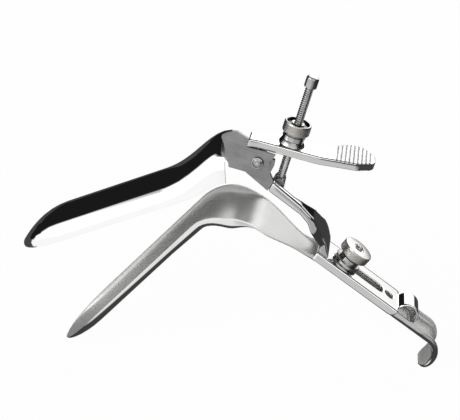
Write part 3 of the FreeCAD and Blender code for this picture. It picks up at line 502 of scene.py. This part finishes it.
def angle_nut():
    """Nut on the rod, with a recess round the rod in its top that is painted near black as shade."""
    radius, height, bore = NUT_RADIUS, NUT_HEIGHT, THREAD_BORE
    wall, floor_height = radius - 0.0013, height - 0.0011
    knurled("knurled_nut", "adjusting_nut", "nut", Vector(JOINTS["nut_spin"]["pos_m"]), ROD_AXIS,
            0.0007, height - 0.0006, radius, (
                (radius - 0.0004, height - 0.0001), (radius - 0.0006, height), (radius - 0.0010, height),
                (wall, height - 0.0003), (wall, floor_height),
                (bore + 0.0010, floor_height), (bore + 0.0010, height - 0.0003), (bore, height - 0.0003),
                (bore, 0.0), (radius - 0.0010, 0.0), (radius - 0.0004, 0.0003)), "recess_painted_shade_steel")


def clamp_knob():
    """Knob on the handle's stud, with a flat face."""
    radius, height, bore = KNOB_RADIUS, KNOB_HEIGHT, THREAD_BORE
    knurled("knurled_knob", "clamp_knob", "knob", CLAMP_POINT + CLAMP_AXIS * KNOB_STANDS, CLAMP_AXIS,
            0.0006, height - 0.0007, radius, (
                (radius - 0.0003, height - 0.0002), (radius - 0.0008, height),
                (bore + 0.0009, height), (bore + 0.0007, height - 0.0003), (bore, height - 0.0003),
                (bore, 0.0), (radius - 0.0010, 0.0), (radius - 0.0003, 0.0003)), "face_steel")


cut_rod()
angle_nut()
clamp_knob()


# Stage

FLOOR_HALF = 4.0
FLOOR_DROP = 0.0002
FLOOR_SEEN = 0.975
MIRRORED_DARK = 0.06
MIRRORED_RIGHT = 0.64
STUDIO_DIM = 0.01
PART_MIDDLE = (0, 0, 0.05)


def floor():
    """Wide pale floor that shows as the white background and keeps a soft shadow.

    Mirrored in the metal it is white in front of the part and dark under and behind it.
    """
    mesh = bpy.data.meshes.new("floor")
    work = bmesh.new()
    bmesh.ops.create_grid(work, x_segments=8, y_segments=8, size=FLOOR_HALF)
    work.to_mesh(mesh)
    work.free()
    plane = bpy.data.objects.new("floor", mesh)
    plane.location.z = -FLOOR_DROP
    bpy.context.collection.objects.link(plane)
    material = bpy.data.materials.new("floor_white")
    nodes = Nodes(material)
    output = nodes.add("ShaderNodeOutputMaterial")
    blend = nodes.add("ShaderNodeMixShader")
    matt = nodes.add("ShaderNodeBsdfDiffuse")
    matt.inputs["Color"].default_value = (0.9, 0.9, 0.9, 1)
    glow = nodes.add("ShaderNodeEmission")
    path = nodes.add("ShaderNodeLightPath")
    seen = nodes.math("MULTIPLY", path.outputs["Is Camera Ray"], FLOOR_SEEN)
    x, y, _ = nodes.axes(nodes.add("ShaderNodeNewGeometry").outputs["Position"])
    front = nodes.inverse(nodes.step(y, -0.05, -0.03))
    left = nodes.inverse(nodes.step(x, 0.0, 0.04))
    near = nodes.inverse(nodes.step(x, 0.16, 0.22))
    ahead = nodes.math("MULTIPLY", nodes.mix(left, MIRRORED_RIGHT, 1.0), nodes.mix(near, MIRRORED_DARK, 1.0))
    mirrored = nodes.mix(front, MIRRORED_DARK, ahead)
    shown = nodes.mix_colour(path.outputs["Is Glossy Ray"], WHITE, mirrored)
    nodes.join(shown, glow.inputs["Color"])
    nodes.feed(blend.inputs["Fac"], nodes.math("MAXIMUM", seen, path.outputs["Is Glossy Ray"]))
    nodes.join(matt.outputs["BSDF"], blend.inputs[1])
    nodes.join(glow.outputs["Emission"], blend.inputs[2])
    nodes.join(blend.outputs["Shader"], output.inputs["Surface"])
    mesh.materials.append(material)


def world():
    """White background for the eye; a studio of soft white panels and dark gaps for the metal."""
    surroundings = bpy.data.worlds.new("studio")
    bpy.context.scene.world = surroundings
    nodes = Nodes(surroundings)
    output = nodes.add("ShaderNodeOutputWorld")
    background = nodes.add("ShaderNodeBackground")
    coordinates = nodes.add("ShaderNodeTexCoord")
    x, y, z = nodes.axes(coordinates.outputs["Generated"])
    azimuth = nodes.math("ARCTAN2", x, y)
    elevation = nodes.math("ARCSINE", z)

    def panel(left, right, bottom, top, level, soft):
        """White card between azimuths and elevations in degrees; azimuth 0 is behind the part."""
        left, right, bottom, top, soft = (math.radians(angle) for angle in (left, right, bottom, top, soft))
        across = nodes.window(azimuth, left, right, soft)
        upwards = nodes.window(elevation, bottom, top, soft)
        return nodes.math("MULTIPLY", nodes.math("MULTIPLY", across, upwards), level)

    light = STUDIO_DIM
    for card in (
        (-6, 68, 5.5, 50, 1.15, 2.5),
        (124, 190, -95, 50, 1.2, 3.0),
        (-190, -88, -95, 47, 1.2, 6.0),
        (-60, 60, 62, 80, 0.3, 4.0),
    ):
        light = nodes.math("MAXIMUM", light, panel(*card))
    path = nodes.add("ShaderNodeLightPath")
    shown = nodes.mix_colour(path.outputs["Is Camera Ray"], nodes.mix_colour(light, BLACK, WHITE), WHITE)
    nodes.join(shown, background.inputs["Color"])
    nodes.feed(background.inputs["Strength"], nodes.math("MAXIMUM", light, 1.0))
    nodes.join(background.outputs["Background"], output.inputs["Surface"])


def lamp(name, place, target, size, power):
    """Soft box of a size in metres, turned to a target."""
    data = bpy.data.lights.new(name, "AREA")
    data.shape = "RECTANGLE"
    data.size, data.size_y = size
    data.energy = power
    item = bpy.data.objects.new(name, data)
    item.location = place
    item.rotation_mode = "QUATERNION"
    item.rotation_quaternion = (Vector(target) - Vector(place)).to_track_quat("-Z", "Y")
    bpy.context.collection.objects.link(item)


# The photograph's frame in pixels, the rivet's face in it and the scale there
FRAME_SIZE = (460.0, 420.0)
RIVET_IN_FRAME = (257.4, 162.4)
RIVET_FACE = HINGE + Vector((0, -0.0205, 0))
PIXELS_PER_METRE = 2150.0
FOCAL_PIXELS = 1100.0
TURN, DROP = math.radians(-8.0), math.radians(25.5)
SENSOR_WIDTH = 36.0


def camera():
    """The photograph's view: 8 degrees round towards the handle and 25.5 degrees down."""
    look = Vector((math.sin(TURN) * math.cos(DROP), math.cos(TURN) * math.cos(DROP), -math.sin(DROP)))
    right = Vector((math.cos(TURN), -math.sin(TURN), 0))
    up = right.cross(look)
    aside = RIVET_IN_FRAME[0] - FRAME_SIZE[0] / 2
    below = RIVET_IN_FRAME[1] - FRAME_SIZE[1] / 2
    ray = right * aside - up * below + look * FOCAL_PIXELS
    data = bpy.data.cameras.new("camera")
    data.sensor_width = SENSOR_WIDTH
    data.lens = SENSOR_WIDTH * FOCAL_PIXELS / FRAME_SIZE[0]
    data.clip_start = 0.01
    data.clip_end = 20.0
    item = bpy.data.objects.new("camera", data)
    place = RIVET_FACE - ray / PIXELS_PER_METRE
    item.matrix_world = Matrix.Translation(place) @ Matrix((right, up, -look)).transposed().to_4x4()
    bpy.context.collection.objects.link(item)
    bpy.context.scene.camera = item


floor()
world()
lamp("key", (-0.9, -0.9, 0.9), PART_MIDDLE, (0.9, 0.7), 6.0)
lamp("fill", (0.3, 1.2, 0.6), PART_MIDDLE, (1.0, 0.5), 2.5)
camera()
bpy.context.scene.view_settings.view_transform = "Standard"
